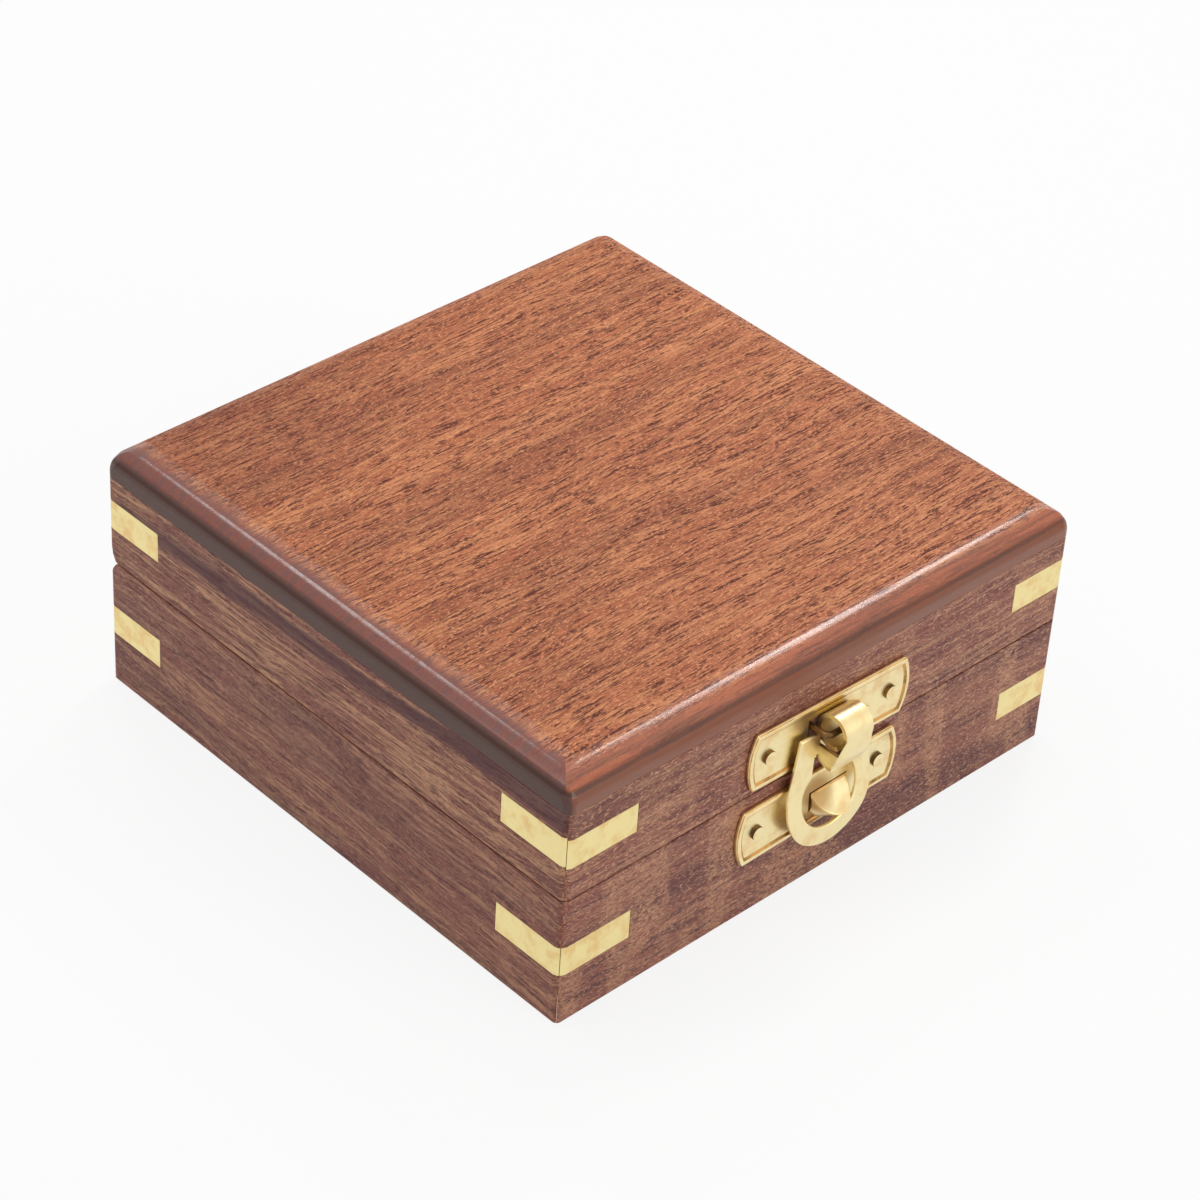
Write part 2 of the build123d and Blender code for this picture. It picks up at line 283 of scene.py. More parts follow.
class Finish:
    """The nodes of a new material, or of the world."""

    def __init__(self, owner):
        self.owner = owner
        self.owner.use_nodes = True
        self.tree = self.owner.node_tree
        self.tree.nodes.clear()

    @classmethod
    def named(cls, name):
        return cls(bpy.data.materials.new(name))

    def node(self, kind, settings, sockets, output=0):
        """Adds a node: its settings first, then the values or links of its sockets."""
        made = self.tree.nodes.new(kind)
        for key, setting in settings.items():
            setattr(made, key, setting)
        for key, value in sockets.items():
            if isinstance(value, Value):
                self.tree.links.new(value.socket, made.inputs[key])
            else:
                made.inputs[key].default_value = value
        return Value(self, made.outputs[output]) if made.outputs else made

    def maths(self, operation, first, second):
        """A Math node, or a Vector Math node where a side is a place or a direction."""
        is_vector = any(x.socket.type == "VECTOR" if isinstance(x, Value)
                        else isinstance(x, tuple) for x in (first, second))
        kind = "ShaderNodeVectorMath" if is_vector else "ShaderNodeMath"
        return self.node(kind, {"operation": operation}, {0: first, 1: second})

    def mix(self, share, first, second):
        """The first colour where share is 0, the second where it is 1.

        A colour Mix node takes its two colours on sockets 6 and 7.
        """
        def colour(value):
            return value if isinstance(value, Value) else (*value, 1)
        return self.node("ShaderNodeMix", {"data_type": "RGBA"},
                         {0: share, 6: colour(first), 7: colour(second)}, output=2)

    def place(self, turn=(0, 0, 0), shift=(0, 0, 0)):
        """The place on the piece in millimetres, turned and shifted."""
        where = self.node("ShaderNodeTexCoord", {}, {}, output="Object")
        thousand = (1000, 1000, 1000)
        return self.node("ShaderNodeMapping", {},
                         {"Vector": where, "Location": shift, "Rotation": turn,
                          "Scale": thousand})

    def noise(self, where, scale, detail=2.0, roughness=0.5):
        """Soft lumps from 0 to 1, with scale turns in each unit of where."""
        return self.node("ShaderNodeTexNoise", {},
                         {"Vector": where, "Scale": scale, "Detail": detail,
                          "Roughness": roughness})

    def distance(self, where, point):
        return self.node("ShaderNodeVectorMath", {"operation": "DISTANCE"},
                         {0: where, 1: tuple(point)}, output="Value")

    def coordinate(self, where, axis):
        return self.node("ShaderNodeSeparateXYZ", {}, {0: where}, output=axis)

    def bump(self, height, depth):
        """Normals for a height from 0 to 1 that is this deep, in metres."""
        return self.node("ShaderNodeBump", {},
                         {"Height": height, "Distance": depth, "Strength": 1.0})

    def seen_directly(self):
        """1 for what the camera, a reflection or a clear piece looks at, 0 for other light."""
        paths = [self.node("ShaderNodeLightPath", {}, {}, output=f"Is {ray} Ray")
                 for ray in ("Camera", "Glossy", "Transmission")]
        return paths[0] + paths[1] + paths[2]

    def shine(self, **sockets):
        """The closing shader; sockets are its inputs by name, with _ for a space."""
        shader = self.node("ShaderNodeBsdfPrincipled", {},
                           {key.replace("_", " "): value for key, value in sockets.items()})
        self.node("ShaderNodeOutputMaterial", {}, {"Surface": shader})
        return self.owner


# ---------------------------------------------------------------- wood
# how far in each edge of the panel is worked, and how far it drops
PANEL_EDGES = {"front": (4.6 * MM, 1.75 * MM), "back": (3.3 * MM, 1.2 * MM),
               "left": (3.3 * MM, 1.3 * MM), "right": (3.9 * MM, 1.4 * MM)}
# profile of a worked edge: share of the way out and of the drop, from the flat to the roll
EDGE_PROFILE = ((0, 0), (0.05, 0.008), (0.11, 0.03), (0.2, 0.075), (0.3, 0.14), (0.45, 0.268),
                (0.62, 0.422), (0.74, 0.542), (0.82, 0.638))
ROLL_RADIUS = 2.2 * MM      # of the roll from the slope into the side
EDGE_SLOPE = math.radians(25)
MITRE_SLANT = 1.136         # way along the front for each way along the left, at their mitre
CORNER_ROLL, CORNER_FOOT = 3.2 * MM, 40.7 * MM      # of the rubbed upper corners
CORNER_ZONE = 5.2 * MM      # how far in from the sides the corners shade into each other


class CaseSettings(bpy.types.PropertyGroup):
    edge_radius: FloatProperty(
        name="Edge radius", description="Rounding of the long outer edges of the boards",
        default=0.4 * MM, unit="LENGTH")
    corner_radius: FloatProperty(
        name="Corner radius", description="Rounding of the upright corners of the case",
        default=1.5 * MM, unit="LENGTH")
    wood_light: FloatVectorProperty(
        name="Light wood", description="Pale streaks of the case boards", subtype="COLOR",
        default=srgb(208, 154, 118))
    wood_middle: FloatVectorProperty(
        name="Middle wood", description="Ground of the case boards", subtype="COLOR",
        default=srgb(152, 93, 77))
    wood_dark: FloatVectorProperty(
        name="Dark wood", description="Dark bands of the case boards", subtype="COLOR",
        default=srgb(84, 42, 48))
    panel_light: FloatVectorProperty(
        name="Light panel wood", description="Pale fibres of the lid's panel",
        subtype="COLOR", default=srgb(216, 142, 94))
    panel_middle: FloatVectorProperty(
        name="Middle panel wood", description="Ground of the lid's panel", subtype="COLOR",
        default=srgb(182, 104, 66))
    panel_dark: FloatVectorProperty(
        name="Dark panel wood", description="Dark bands and pores of the lid's panel",
        subtype="COLOR", default=srgb(104, 48, 34))
    panel_edge: FloatVectorProperty(
        name="Panel edge", description="Worked edges of the lid's panel", subtype="COLOR",
        default=srgb(176, 96, 64))
    panel_slope: FloatVectorProperty(
        name="Panel slope", description="Worked edges across the grain of the lid's panel",
        subtype="COLOR", default=srgb(98, 46, 42))
    end_grain: FloatVectorProperty(
        name="End grain", description="End grain of the lid's panel", subtype="COLOR",
        default=srgb(90, 70, 66))


def grain_axes(finish, along):
    """The place in millimetres with its first axis along the grain, and its three parts."""
    where = finish.place(turn=(0, 0, math.radians(90 if along == "Y" else 0)))
    return where, *(finish.coordinate(where, axis) for axis in "XYZ")


def figured(finish, grain, light, ground, dark, streaks=0.8, bands=0.6, pores=0.6,
            speckle=0.3, ripple=0.0, flecks=0.25):
    """Colour, pores and height of hardwood whose grain runs along the first axis.

    streaks, bands, pores, speckle and flecks say how strong the pale streaks, the dark
    bands, the pores, the fine mottling and the pale spots are, and ripple the pale figure
    that crosses the grain, all from 0 to 1. Each noise below is drawn out along the grain:
    its scales are turns per millimetre, along the grain and then twice across it.
    """
    sway = finish.noise(grain * (0.03, 0.06, 0.06), 1.0, 2.0)
    grain = grain + (sway - 0.5) * (0, 5, 5)
    broad = finish.noise(grain * (0.012, 0.13, 0.13), 1.0, 2.0, 0.6)
    pale = finish.noise(grain * (0.035, 0.8, 0.8) + (3, 9, 4), 1.0, 4.0, 0.7)
    deep = finish.noise(grain * (0.04, 1.0, 1.0) + (8, 1, 6), 1.0, 3.0, 0.65)
    fibre = finish.noise(grain * (0.22, 3.2, 3.2), 1.0, 3.0, 0.65)
    pore = finish.noise(grain * (0.17, 2.5, 2.5) + (7, 3, 5), 1.0, 2.0, 0.6)
    dash = finish.noise(grain * (0.45, 3.0, 3.0) + (1, 8, 2), 1.0, 1.0)
    mottle = finish.noise(grain * (1.2, 2.6, 2.6) + (5, 5, 1), 1.0, 2.0, 0.6)
    spot = finish.noise(grain * (1.5, 4.5, 4.5) + (2, 6, 6), 1.0, 2.0)
    colour = finish.mix(pale.between(0.44, 0.6) * streaks, ground, light)
    colour = finish.mix(broad.between(0.48, 0.66) * bands * 0.7, colour, dark)
    colour = finish.mix(deep.between(0.53, 0.68) * bands, colour, dark)
    if ripple:
        figure = finish.noise(grain * (0.24, 0.05, 0.05), 1.0, 0.0)
        colour = finish.mix(figure.between(0.47, 0.62) * mottle.between(0.42, 0.58) * ripple,
                            colour, light)
    colour = finish.mix(fibre.between(0.5, 0.68) * 0.35, colour, dark)
    colour = finish.mix(mottle.between(0.5, 0.66) * speckle, colour, dark)
    pore = finish.maths("MAXIMUM", pore.between(0.54, 0.64),
                        dash.between(0.57, 0.67) * 0.8) * pores
    colour = finish.mix(pore, colour, shade(dark, 0.8))
    bright = [min(part * 1.3 + 0.04, 1) for part in light]
    colour = finish.mix(spot.between(0.54, 0.66) * flecks, colour, bright)
    height = fibre * 0.4 + mottle * 0.25 - pore * 0.8
    return colour, pore, height, mottle, broad


def waxed(finish, colour, pore, height, mottle, polish=0.06):
    """Closes a wood finish: wax, with a polish that fills the pores less."""
    return finish.shine(Base_Color=colour, Roughness=mottle * 0.2 + (pore * 0.2 + 0.34),
                        Specular_IOR_Level=0.2, Coat_Weight=polish, Coat_Roughness=0.16,
                        Normal=finish.bump(height, PORE_DEPTH))


def board_wood(name, light, ground, dark, along="X", shift=(0, 0, 0), slant=0.0, stripe=None,
               **figure):
    """Wood of a side board.

    slant is the grain's climb along the board, and stripe one dark line: its height at
    the start and at the end of the board, and its half width, in mm.
    """
    finish = Finish.named(name)
    where, run, _, up = grain_axes(finish, along)
    grain = where + run * (0, slant, slant) + shift
    colour, pore, height, mottle, broad = figured(finish, grain, light, ground, dark, **figure)
    if stripe:
        start, end, half = stripe
        line = run * ((end - start) / 100) + ((start + end) / 2 - 3) + broad * 6
        away = abs(up - line)
        colour = finish.mix((1 - away.between(half * 0.4, half * 1.4)) * 0.8, colour, dark)
    return waxed(finish, colour, pore, height, mottle)


def panel_wood(name, light, ground, dark, worked, maroon, end_grain):
    """Wood of the lid's panel, with its worked edges and a darker corner at the back left."""
    finish = Finish.named(name)
    where, run, across, up = grain_axes(finish, "X")
    corner = across.between(18, 42) * (1 - run.between(-24, 10))
    colour, pore, height, mottle, broad = figured(
        finish, where + (5, 18, 2), light, ground, dark, bands=0.45, pores=1.0,
        speckle=corner * 0.5 + 0.25, flecks=0.6)
    colour = finish.mix(corner * 0.3, colour, dark)

    # the worked edges, in millimetres from the middle: a polished crest, then smooth wood
    toward_left, toward_front = 0 - run, 0 - across
    outward = finish.maths("MAXIMUM", toward_left + 0.7, toward_front) + (broad - 0.5) * 2
    crest, edge = outward.between(44.4, 45.2), outward.between(45.8, 47.6)
    streaky = finish.noise(where * (0.045, 0.75, 0.75) + (4, 4, 4), 1.0, 4.0, 0.65)
    smooth_wood = finish.mix(streaky.between(0.44, 0.6), worked, shade(worked, 0.42))
    colour = finish.mix(edge * 0.8, colour, smooth_wood)

    # the left edge is cut across the grain and is darker, as far as its mitre with the front
    front_start, left_start = ((HALF_DEPTH - PANEL_EDGES[side][0]) / MM
                               for side in ("front", "left"))
    mitre = (toward_left - left_start) * MITRE_SLANT + front_start - toward_front
    colour = finish.mix(mitre.between(-0.05, 0.05) * edge * 0.7, colour, maroon)

    # below the roll the sides are painted darker, as shade, with a dark line of painted shade along their top
    # where the roll turns down into the side
    below_roll = 1 - up.between(40.2, 40.5)
    line = up.between(40.2, 40.5) * (1 - up.between(40.7, 41.1))
    ends = abs(run).between(48.9, 49.5)
    # painted shade: the sides below the roll take the panel's ground at half its brightness
    colour = finish.mix(below_roll * 0.85, colour, shade(ground, 0.5))
    colour = finish.mix(ends * 0.85, colour, end_grain)
    # painted shade: the dark line along the foot of the roll
    colour = finish.mix(line * 0.7, colour, shade(worked, 0.15))
    polish = crest * (streaky.between(0.3, 0.6) * 0.4 + 0.35) * (1 - ends * 0.8)
    return waxed(finish, colour, pore * (1 - edge * 0.8), height * (1 - edge * 0.6), mottle,
                 polish)


# how each board was cut: grain direction, where in the plank, and how figured it is
BOARD_CUTS = {
    "base_front_board": dict(along="X", shift=(10, 40, 3), bands=0.85, pores=0.35,
                             speckle=0.45, ripple=0.9, streaks=0.4, flecks=0.5),
    "base_back_board": dict(along="X", shift=(200, 90, 11), bands=0.6, pores=0.5),
    "base_left_board": dict(along="Y", shift=(60, 20, 37), slant=0.02, bands=0.5,
                            pores=0.6, speckle=0.35, streaks=0.7),
    "base_right_board": dict(along="Y", shift=(160, 70, 23), bands=0.6, pores=0.5),
    "lid_front_board": dict(along="X", shift=(90, 15, 51), bands=0.7, pores=0.4,
                            speckle=0.45, ripple=0.4, streaks=0.6, flecks=0.55),
    "lid_back_board": dict(along="X", shift=(250, 10, 5), bands=0.6, pores=0.5),
    "lid_left_board": dict(along="Y", shift=(20, 130, 77), slant=-0.02, bands=0.3, pores=0.7,
                           streaks=1.0, stripe=(33, 36, 1.6)),
    "lid_right_board": dict(along="Y", shift=(120, 33, 9), bands=0.6, pores=0.5),
    "base_floor_panel": dict(along="X", shift=(33, 47, 90), bands=0.3, pores=0.4),
}


def corner_cuts(side, radius):
    """Cuts that round the two upright corners at the ends of a side."""
    face = SIDES[side]
    cuts = []
    for end in (UP.cross(face), face.cross(UP)):
        cuts += rounded(face * HALF_DEPTH + end * HALF_WIDTH, face, end, radius)
    return cuts


# shares of the edge radius, at the lower and the upper edges of the boards of each half
EASED = {"base": (1, 0.6), "lid": (0.6, 0.3)}


def make_board(node, settings):
    """A side board: a copy of the frame's, with its edges and corners eased."""
    level, side = node.split("_")[:2]
    low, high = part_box(node)
    face = SIDES[side]
    outer = face * HALF_DEPTH
    piece = from_frame(node, node + "_waxed")
    lower, upper = EASED[level]
    saw(piece, corner_cuts(side, settings.corner_radius)
        + rounded(outer + UP * low.z, face, -UP, settings.edge_radius * lower)
        + rounded(outer + UP * high.z, face, UP, settings.edge_radius * upper))
    smooth(piece)
    return piece


class DICEBOX_OT_boards(bpy.types.Operator):
    """Makes the eight side boards and the floor panel"""
    bl_idname = "dicebox.boards"
    bl_label = "Boards"

    def execute(self, context):
        settings = context.scene.dicebox_case
        for node, cut in BOARD_CUTS.items():
            if node == "base_floor_panel":
                piece = from_frame(node, node + "_waxed")
                soften(piece, settings.edge_radius * 0.5)
                smooth(piece)
            else:
                piece = make_board(node, settings)
            material = board_wood(node + "_wood", settings.wood_light, settings.wood_middle,
                                  settings.wood_dark, **cut)
            fit_out(piece, BODY_OF[node], material, "case_wood", node)
        return {"FINISHED"}


def panel_edge_cuts(side, width, drop):
    """Cuts for one worked edge: a crest, an easy slope and a roll into the side."""
    face = SIDES[side]
    start = face * (HALF_DEPTH - width) + UP * BOX_TOP
    points = [start + face * out * width - UP * down * drop for out, down in EDGE_PROFILE]
    cuts = []
    for here, beyond in zip(points, points[1:]):
        run = beyond - here
        slope = (face * -run.z + UP * run.dot(face)).normalized()
        cuts.append((here, slope))
    last = cuts[-1][0]
    outer = HALF_DEPTH - last.dot(face)
    foot = last + face * outer - UP * (outer * slope.dot(face) / slope.z)
    return cuts + rounded(foot, slope, face, ROLL_RADIUS, steps=8)


def panel_corner_cuts(side, radius):
    """Cuts that rub one upper corner of the panel round, between a side and the next."""
    face = SIDES[side]
    beyond = UP.cross(face)
    axis = face * (HALF_DEPTH - radius) + beyond * (HALF_WIDTH - radius)
    cuts = []
    for step in (1, 2, 3):
        outward = face.slerp(beyond, step / 4)
        foot = axis + outward * radius + UP * CORNER_FOOT
        slope = (UP * math.cos(EDGE_SLOPE) + outward * math.sin(EDGE_SLOPE)).normalized()
        cuts += rounded(foot, slope, outward, CORNER_ROLL, steps=7)
    return cuts


class DICEBOX_OT_panel(bpy.types.Operator):
    """Makes the lid's top panel with its rounded-over edges"""
    bl_idname = "dicebox.panel"
    bl_label = "Lid panel"

    def execute(self, context):
        settings = context.scene.dicebox_case
        piece = add_block("lid_top_panel_waxed", *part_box("lid_top_panel"))
        cuts = []
        for side, (width, drop) in PANEL_EDGES.items():
            cuts += panel_edge_cuts(side, width, drop)
            cuts += rounded(SIDES[side] * HALF_DEPTH + UP * FRAME_TOP, SIDES[side], -UP,
                            settings.edge_radius * EASED["lid"][1])
            cuts += panel_corner_cuts(side, settings.corner_radius)
        for side in ("front", "back"):
            cuts += corner_cuts(side, settings.corner_radius)
        saw(piece, cuts)
        score(piece, [(side * (HALF_DEPTH - CORNER_ZONE), side)
                      for side in SIDES.values()])
        smooth(piece, 16)
        material = panel_wood("lid_panel_wood", settings.panel_light, settings.panel_middle,
                              settings.panel_dark, settings.panel_edge,
                              settings.panel_slope, settings.end_grain)
        fit_out(piece, "lid", material, "lid_panel_wood", "lid_top_panel")
        return {"FINISHED"}


# ---------------------------------------------------------------- brass
class BrassSettings(bpy.types.PropertyGroup):
    inlay_colour: FloatVectorProperty(
        name="Inlay brass", description="Brass of the corner strips", subtype="COLOR",
        default=srgb(240, 222, 160))
    latch_colour: FloatVectorProperty(
        name="Latch brass", description="Brass of the latch", subtype="COLOR",
        default=srgb(243, 226, 174))
    hinge_colour: FloatVectorProperty(
        name="Hinge brass", description="Brass of the hinges", subtype="COLOR",
        default=srgb(214, 186, 116))
    # real tarnish in the brass's clouds, and also the ground of the painted shade on the plates' rim steps and,
    # darkened, of the painted shade spots
    tarnish_and_shade_colour: FloatVectorProperty(
        name="Tarnish", description="Warm tarnish that clouds the brass", subtype="COLOR",
        default=srgb(222, 168, 96))
    # painted shade: a dark brass for the staple, the sides of the nail heads and the clouds on the plates' rim
    # steps
    painted_shade_colour: FloatVectorProperty(
        name="Painted shade", description="Dark old brass of the staple", subtype="COLOR",
        default=srgb(92, 70, 46))
    strip_bevel: FloatProperty(
        name="Strip bevel", description="Broken edge of the corner strips",
        default=0.06 * MM, unit="LENGTH")


def brass(name, colour, tarnish, roughness=0.3, clouds=0.5, shift=(0, 0, 0), painted_shade_spots=()):
    """Brushed brass, clouded with tarnish.

    The last argument lists spots of painted shade, where the brass is darkened toward a dull tarnish colour and
    made rougher: middle, radius in mm, and strength.
    """
    finish = Finish.named(name)
    where = finish.place(shift=shift)
    cloud = finish.noise(where, 0.35, 3.0, 0.6)
    scratches = finish.noise(where * (0.5, 6, 6), 1.0, 3.0)
    grain = finish.noise(where, 7.0, 2.0)
    tint = finish.mix(cloud.between(0.42, 0.72) * clouds, colour, tarnish)
    rough = cloud * 0.15 + grain * 0.1 + (roughness - 0.12)
    here = finish.place()
    # painted shade: each spot darkens the brass toward half its tarnish colour and roughens it
    for middle_of_painted_shade, radius, strength in painted_shade_spots:
        away = finish.distance(here, middle_of_painted_shade) + (cloud - 0.5) * 2
        painted_shade = (1 - away.between(radius * 0.45, radius)) * strength
        tint = finish.mix(painted_shade, tint, shade(tarnish, 0.5))
        rough = rough + painted_shade * 0.15
    return finish.shine(Base_Color=tint, Metallic=1.0, Roughness=rough,
                        Normal=finish.bump(scratches * 0.6 + grain * 0.4, SCRATCH_DEPTH))


class DICEBOX_OT_strips(bpy.types.Operator):
    """Makes the sixteen brass corner strips"""
    bl_idname = "dicebox.strips"
    bl_label = "Corner strips"

    def execute(self, context):
        settings = context.scene.dicebox_brass
        radius = context.scene.dicebox_case.corner_radius
        material = brass("inlay_brass", settings.inlay_colour, settings.tarnish_and_shade_colour,
                         roughness=0.38, clouds=0.5)
        for node in [n for n in frame["nodes"] if "_strip_" in n]:
            side, end = node.split("_")[2:]
            low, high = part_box(node)
            piece = add_block(node + "_filed", low, high)
            face, toward = SIDES[side], SIDES[end]
            tip = max((low, high), key=lambda corner: corner.dot(toward)).dot(toward)
            point = face * HALF_DEPTH + toward * tip
            saw(piece, [(point, toward - face)] + corner_cuts(side, radius))
            soften(piece, settings.strip_bevel)
            smooth(piece)
            fit_out(piece, BODY_OF[node], material, "inlay_brass", node)
        return {"FINISHED"}


# ---------------------------------------------------------------- latch
class LatchSettings(bpy.types.PropertyGroup):
    plate_length: FloatProperty(
        name="Plate length", description="Latch plates between their corners",
        default=30.0 * MM, unit="LENGTH")
    plate_height: FloatProperty(
        name="Plate height", description="Height of the latch plates",
        default=9.9 * MM, unit="LENGTH")
    plate_bulge: FloatProperty(
        name="Plate bulge", description="How far the rounded ends stand beyond the corners",
        default=1.2 * MM, unit="LENGTH")
    plate_thickness: FloatProperty(
        name="Plate thickness", description="Plate from the wood to its sunken field",
        default=0.6 * MM, unit="LENGTH")
    rim_width: FloatProperty(
        name="Rim width", description="Raised rim of the plates",
        default=0.4 * MM, unit="LENGTH")
    rim_rise: FloatProperty(
        name="Rim rise", description="Height of the rim above the field",
        default=0.25 * MM, unit="LENGTH")
    sheet: FloatProperty(
        name="Hasp sheet", description="Thickness of the hasp's sheet",
        default=0.65 * MM, unit="LENGTH")
    nail_radius: FloatProperty(
        name="Nail head radius", description="Radius of the nails' heads",
        default=1.1 * MM, unit="LENGTH")
    nail_spacing: FloatProperty(
        name="Nail spacing", description="Distance between the two nails of a plate",
        default=24.4 * MM, unit="LENGTH")


def plate_place(origin, tilt):
    """From a latch part's own axes to its place on the front of the box."""
    across = Vector((math.cos(tilt), 0, math.sin(tilt)))
    upward = Vector((-math.sin(tilt), 0, math.cos(tilt)))
    place = Matrix((across, upward, -BACK)).transposed().to_4x4()
    place.translation = origin
    return place


AXIS_OUT, AXIS_UP = 3.6 * MM, 1.35 * MM     # hasp's pivot from the middle of its plate
CATCH_TILT = math.radians(1.3)


def hasp_place():
    """The upper plate's place, from the hasp's pivot, which is tilted as the plate is."""
    axis = Vector(HASP_JOINT["axis"])
    tilt = math.atan2(-axis.z, -axis.x)
    upward = Vector((-math.sin(tilt), 0, math.cos(tilt)))
    return plate_place(Vector(HASP_JOINT["pos_m"]) + BACK * AXIS_OUT - upward * AXIS_UP, tilt)


def catch_place():
    """The lower plate's place, with its back on the wood."""
    middle = sum(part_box("catch_plate"), Vector()) / 2
    return plate_place(Vector((middle.x, -HALF_DEPTH, middle.z)), CATCH_TILT)


HASP_PLACE, CATCH_PLACE = hasp_place(), catch_place()


def settle(piece, place):
    """Sets a part that was shaped in its own axes on the front of the box."""
    piece.matrix_world = place
    select_only(piece)
    bpy.ops.object.transform_apply(location=True, rotation=True, scale=True)


def plate_blank(name, size):
    """A plate with rounded ends and a raised rim."""
    half, high = size.plate_length / 2 + size.plate_bulge, size.plate_height / 2
    bulge = size.plate_bulge
    end_radius = (high * high + bulge * bulge) / (2 * bulge)
    thick = size.plate_thickness + size.rim_rise
    piece = add_block(name, (-half - bulge, -high, 0), (half + bulge, high, thick))
    reach = math.asin(high / end_radius)
    cuts = []
    for way in (-1, 1):
        for step in range(-4, 5):
            turn = reach * step / 4
            normal = Vector((way * math.cos(turn), math.sin(turn), 0))
            centre = Vector((way * (half - end_radius), 0, 0))
            cuts.append((centre + normal * end_radius, normal))
    saw(piece, cuts)
    soften(piece, 0.35 * MM, segments=3, angle=60)
    with editing(piece, "FACE") as mesh:
        pick(mesh, mesh.faces, lambda f: f.normal.z > 0.99)
        for width, drop in ((size.rim_width, 0), (size.rim_rise * 1.7, size.rim_rise)):
            bpy.ops.mesh.inset(thickness=width, depth=-drop)
            bpy.ops.mesh.remove_doubles(threshold=0.25 * MM)
    return piece


def clear_slivers(piece):
    """Merges what cutting leaves behind, and redraws the broad faces."""
    with editing(piece):
        bpy.ops.mesh.select_all(action="SELECT")
        bpy.ops.mesh.dissolve_degenerate(threshold=0.002 * MM)
        bpy.ops.mesh.dissolve_limited(angle_limit=math.radians(0.3))


STEP_LOW, STEP_HIGH = 0.65 * MM, 0.8 * MM


def is_rim_step(face):
    """The sloping step between a plate's rim and its field, by its slant and its height."""
    return 0.3 < face.normal.z < 0.9 and STEP_LOW < face.center.z < STEP_HIGH


NAIL_HEIGHT, NAIL_SHANK, NAIL_LENGTH = 0.5 * MM, 0.5 * MM, 5.0 * MM
NAIL_POINT = 0.2            # its tip's share of the shank
NAIL_OPENING = 0.53 * MM


def nail_places(size):
    """How far left and right of a plate's middle its nails are."""
    return -size.nail_spacing / 2, size.nail_spacing / 2


def nail_openings(size):
    """Cutting shapes for the two openings of a plate, which pass right through it."""
    return [add_drum("opening", NAIL_OPENING, 4 * MM, (x, 0, 0), sides=24)
            for x in nail_places(size)]


def make_nail(head_radius):
    """A round-headed nail that points down Z, with the underside of its head at 0."""
    piece = add_drum("nail", head_radius, NAIL_HEIGHT, (0, 0, NAIL_HEIGHT / 2), sides=32)
    with editing(piece, "FACE") as mesh:
        pick(mesh, mesh.faces, lambda f: f.normal.z < -0.9)
        bpy.ops.mesh.inset(thickness=head_radius - NAIL_SHANK, depth=0)
        for way in (NAIL_LENGTH, 2 * NAIL_SHANK):
            bpy.ops.mesh.extrude_region_move(TRANSFORM_OT_translate={"value": (0, 0, -way)})
        bpy.ops.transform.resize(value=(NAIL_POINT, NAIL_POINT, 1))
    soften(piece, 0.08 * MM, segments=2, angle=60)
    return piece


def drive_nails(name, nail, size, place):
    """The two nails of a latch plate, as one piece: copies of a nail, each at its opening."""
    nails = [copied(nail, name) for _ in range(2)]
    for driven, x in zip(nails, nail_places(size)):
        settle(driven, place @ Matrix.Translation((x, 0, size.plate_thickness)))
    select_only(nails[0])
    nails[1].select_set(True)
    bpy.ops.object.join()
    nails[0].name = nails[0].data.name = name
    smooth(nails[0])
    return nails[0]


# openings in the plates: left, low, right and high in mm
WINDOW, SLIT = (-4.6, -2.2, 3.0, 2.7), (-2.8, 3.65, 2.8, 3.95)
TOP_CUT, SIDE_CUT = (-1.7, 1.0, 5.9, 1.3), (-1.7, -2.3, -1.35, 1.3)
# the catch: the middles of its foot and of its blunt tip, and the drum that hollows it
NOSE_FOOT, NOSE_TIP = Vector((2.2, -0.85, 0.4)) * MM, Vector((2.75, -0.85, 4.5)) * MM
FOOT_RADIUS, TIP_RADIUS = 3.95 * MM, 1.6 * MM
HOLLOW_MIDDLE, HOLLOW_RADIUS = Vector((1.7, 4.53, 7.97)) * MM, 8.2 * MM
# middles of painted shade, in each plate's axes: on the hasp's neck beside the curl, and on the catch beside its
# cut
UPPER_PAINTED_SHADE, LOWER_PAINTED_SHADE = Vector((-2.4, 0.2, 2.6)) * MM, Vector((-0.6, 1.2, 1.6)) * MM


def plate_cut(name, left, low, right, high):
    """A cutting shape that passes through a plate."""
    return add_block(name, (left * MM, low * MM, -1 * MM), (right * MM, high * MM, 2 * MM))


def score_upright(plate, *places):
    """Adds upright edges across a plate, so that its broad faces stay simple when cut."""
    score(plate, [(Vector((x, 0, 0)), RIGHT) for x in places])


def make_nose():
    """The catch pressed out of the lower plate: a blunt cone with a hollowed upper facet."""
    bpy.ops.object.select_all(action="DESELECT")
    bpy.ops.mesh.primitive_cone_add(
        vertices=48, radius1=FOOT_RADIUS, radius2=TIP_RADIUS, depth=NOSE_TIP.z - NOSE_FOOT.z,
        location=(NOSE_FOOT.x, NOSE_FOOT.y, (NOSE_FOOT.z + NOSE_TIP.z) / 2))
    nose = named_active("nose")
    with editing(nose) as mesh:
        pick(mesh, mesh.verts, lambda v: v.co.z > NOSE_FOOT.z + 1 * MM)
        bpy.ops.transform.translate(value=(NOSE_TIP.x - NOSE_FOOT.x, 0, 0))
    hollow = add_drum("hollow", HOLLOW_RADIUS, 20 * MM, HOLLOW_MIDDLE,
                      turn=(0, math.radians(90), 0), sides=192)
    combine(nose, "DIFFERENCE", hollow)
    with editing(nose, "EDGE") as mesh:
        pick(mesh, mesh.edges, lambda e: e.calc_face_angle(0) > math.radians(50)
             and middle(e).z > NOSE_FOOT.z + 0.3 * MM)
        bpy.ops.mesh.bevel(offset=0.16 * MM, segments=3, affect="EDGES")
    return nose


